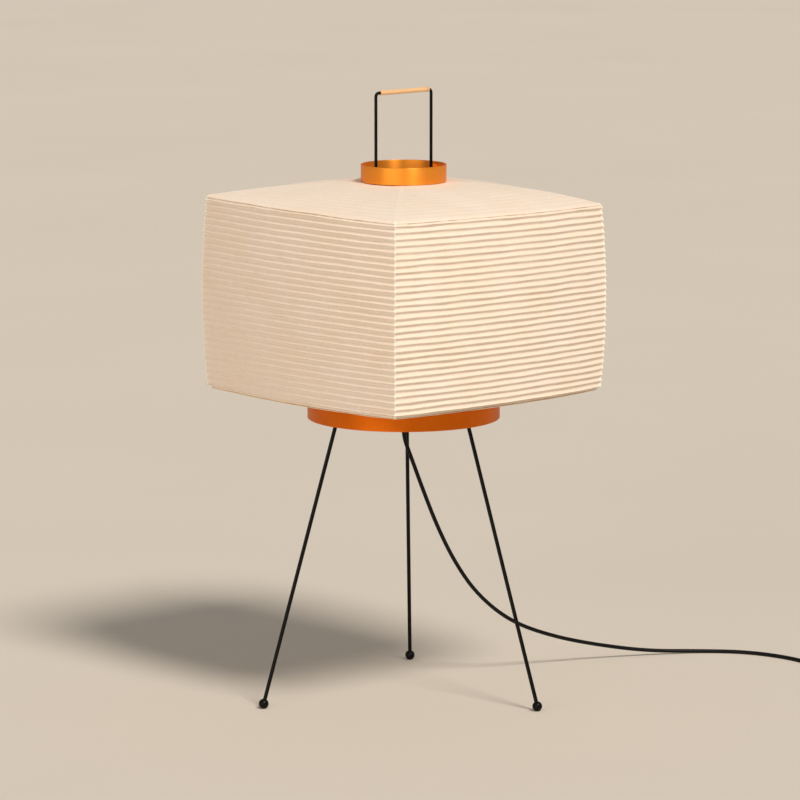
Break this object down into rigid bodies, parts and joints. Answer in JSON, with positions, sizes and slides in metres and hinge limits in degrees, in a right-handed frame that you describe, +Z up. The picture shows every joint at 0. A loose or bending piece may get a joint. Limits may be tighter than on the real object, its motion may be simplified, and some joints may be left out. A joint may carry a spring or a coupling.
{
  "type": "paper lamp",
  "caption": "Square paper lamp with bulging ribbed sides, round metal rings and a carrying handle, on thin splayed wire legs with ball feet, and a corded bulb inside.",
  "frame": {"origin": "on the floor under the lamp's axis, midway between the feet and under the rings' centre", "axes": "+Z up along the axis of both rings, +X and +Y square to the shade's faces, the handle's grip along Y"},
  "size_m": [0.7337, 0.7231, 0.7901],
  "materials": {
    "paper": "matte",
    "orange_enamel": "satin",
    "black_enamel": "satin",
    "plain_steel": "satin",
    "cane": "satin",
    "holder_plastic": "matte",
    "porcelain": "matte",
    "brass": "polished",
    "frosted_glass": "frosted",
    "bulb_metal": "satin",
    "dark_glass": "polished",
    "cord_sheath": "matte",
    "switch_plastic": "satin",
    "tie_plastic": "matte"
  },
  "bodies": {
    "base": {"ball_feet": "black_enamel", "centre_contact": "brass", "coil_tie": "tie_plastic", "cord_coil": "cord_sheath", "cord_grip": "holder_plastic", "cord_lamp": "cord_sheath", "cord_to_coil": "cord_sheath", "cord_to_plug": "cord_sheath", "frame_wire": "black_enamel", "grub_screws": "plain_steel", "holder_cap": "holder_plastic", "holder_skirt": "holder_plastic", "leg_back": "black_enamel", "leg_left": "black_enamel", "leg_nuts": "plain_steel", "leg_right": "black_enamel", "leg_spider": "black_enamel", "lock_washer": "plain_steel", "pin_sleeves": "cord_sheath", "plug_body": "cord_sheath", "plug_boot": "cord_sheath", "plug_pins": "plain_steel", "porcelain_insert": "porcelain", "rocker_axle": "plain_steel", "saddle_bar": "plain_steel", "screw_shell": "brass", "stop_collars": "plain_steel", "switch_lower_case": "switch_plastic", "switch_screws": "plain_steel", "switch_upper_case": "switch_plastic", "terminal_screws": "brass", "threaded_tube": "plain_steel", "tube_nuts": "plain_steel"},
    "shade": {"paper_panel_back": "paper", "paper_panel_front": "paper", "paper_panel_left": "paper", "paper_panel_right": "paper", "top_ring": "orange_enamel", "bottom_ring": "orange_enamel", "ring_lugs": "orange_enamel", "ring_saddles": "orange_enamel"},
    "bulb": {"bulb_globe": "frosted_glass", "bulb_cap": "bulb_metal", "bulb_insulator": "dark_glass", "bulb_tip": "bulb_metal"},
    "grip": {"handle_grip": "cane"},
    "rocker": {"switch_rocker": "switch_plastic"}
  },
  "joints": [
    {"name": "shade_lift", "type": "slide", "parent": "base", "child": "shade", "axis": [0, 0, 1], "range_m": [0, 0.44]},
    {"name": "bulb_out", "type": "slide", "parent": "base", "child": "bulb", "axis": [0, 0, 1], "range_m": [0, 0.03]},
    {"name": "grip_turn", "type": "hinge", "parent": "base", "child": "grip", "pos_m": [0, 0.0012, 0.7868], "axis": [0, 1, 0], "continuous": true},
    {"name": "switch_rock", "type": "hinge", "parent": "base", "child": "rocker", "pos_m": [0.382, 0.5, 0.0126], "axis": [0, 1, 0], "range_deg": [-16, 0]}
  ]
}
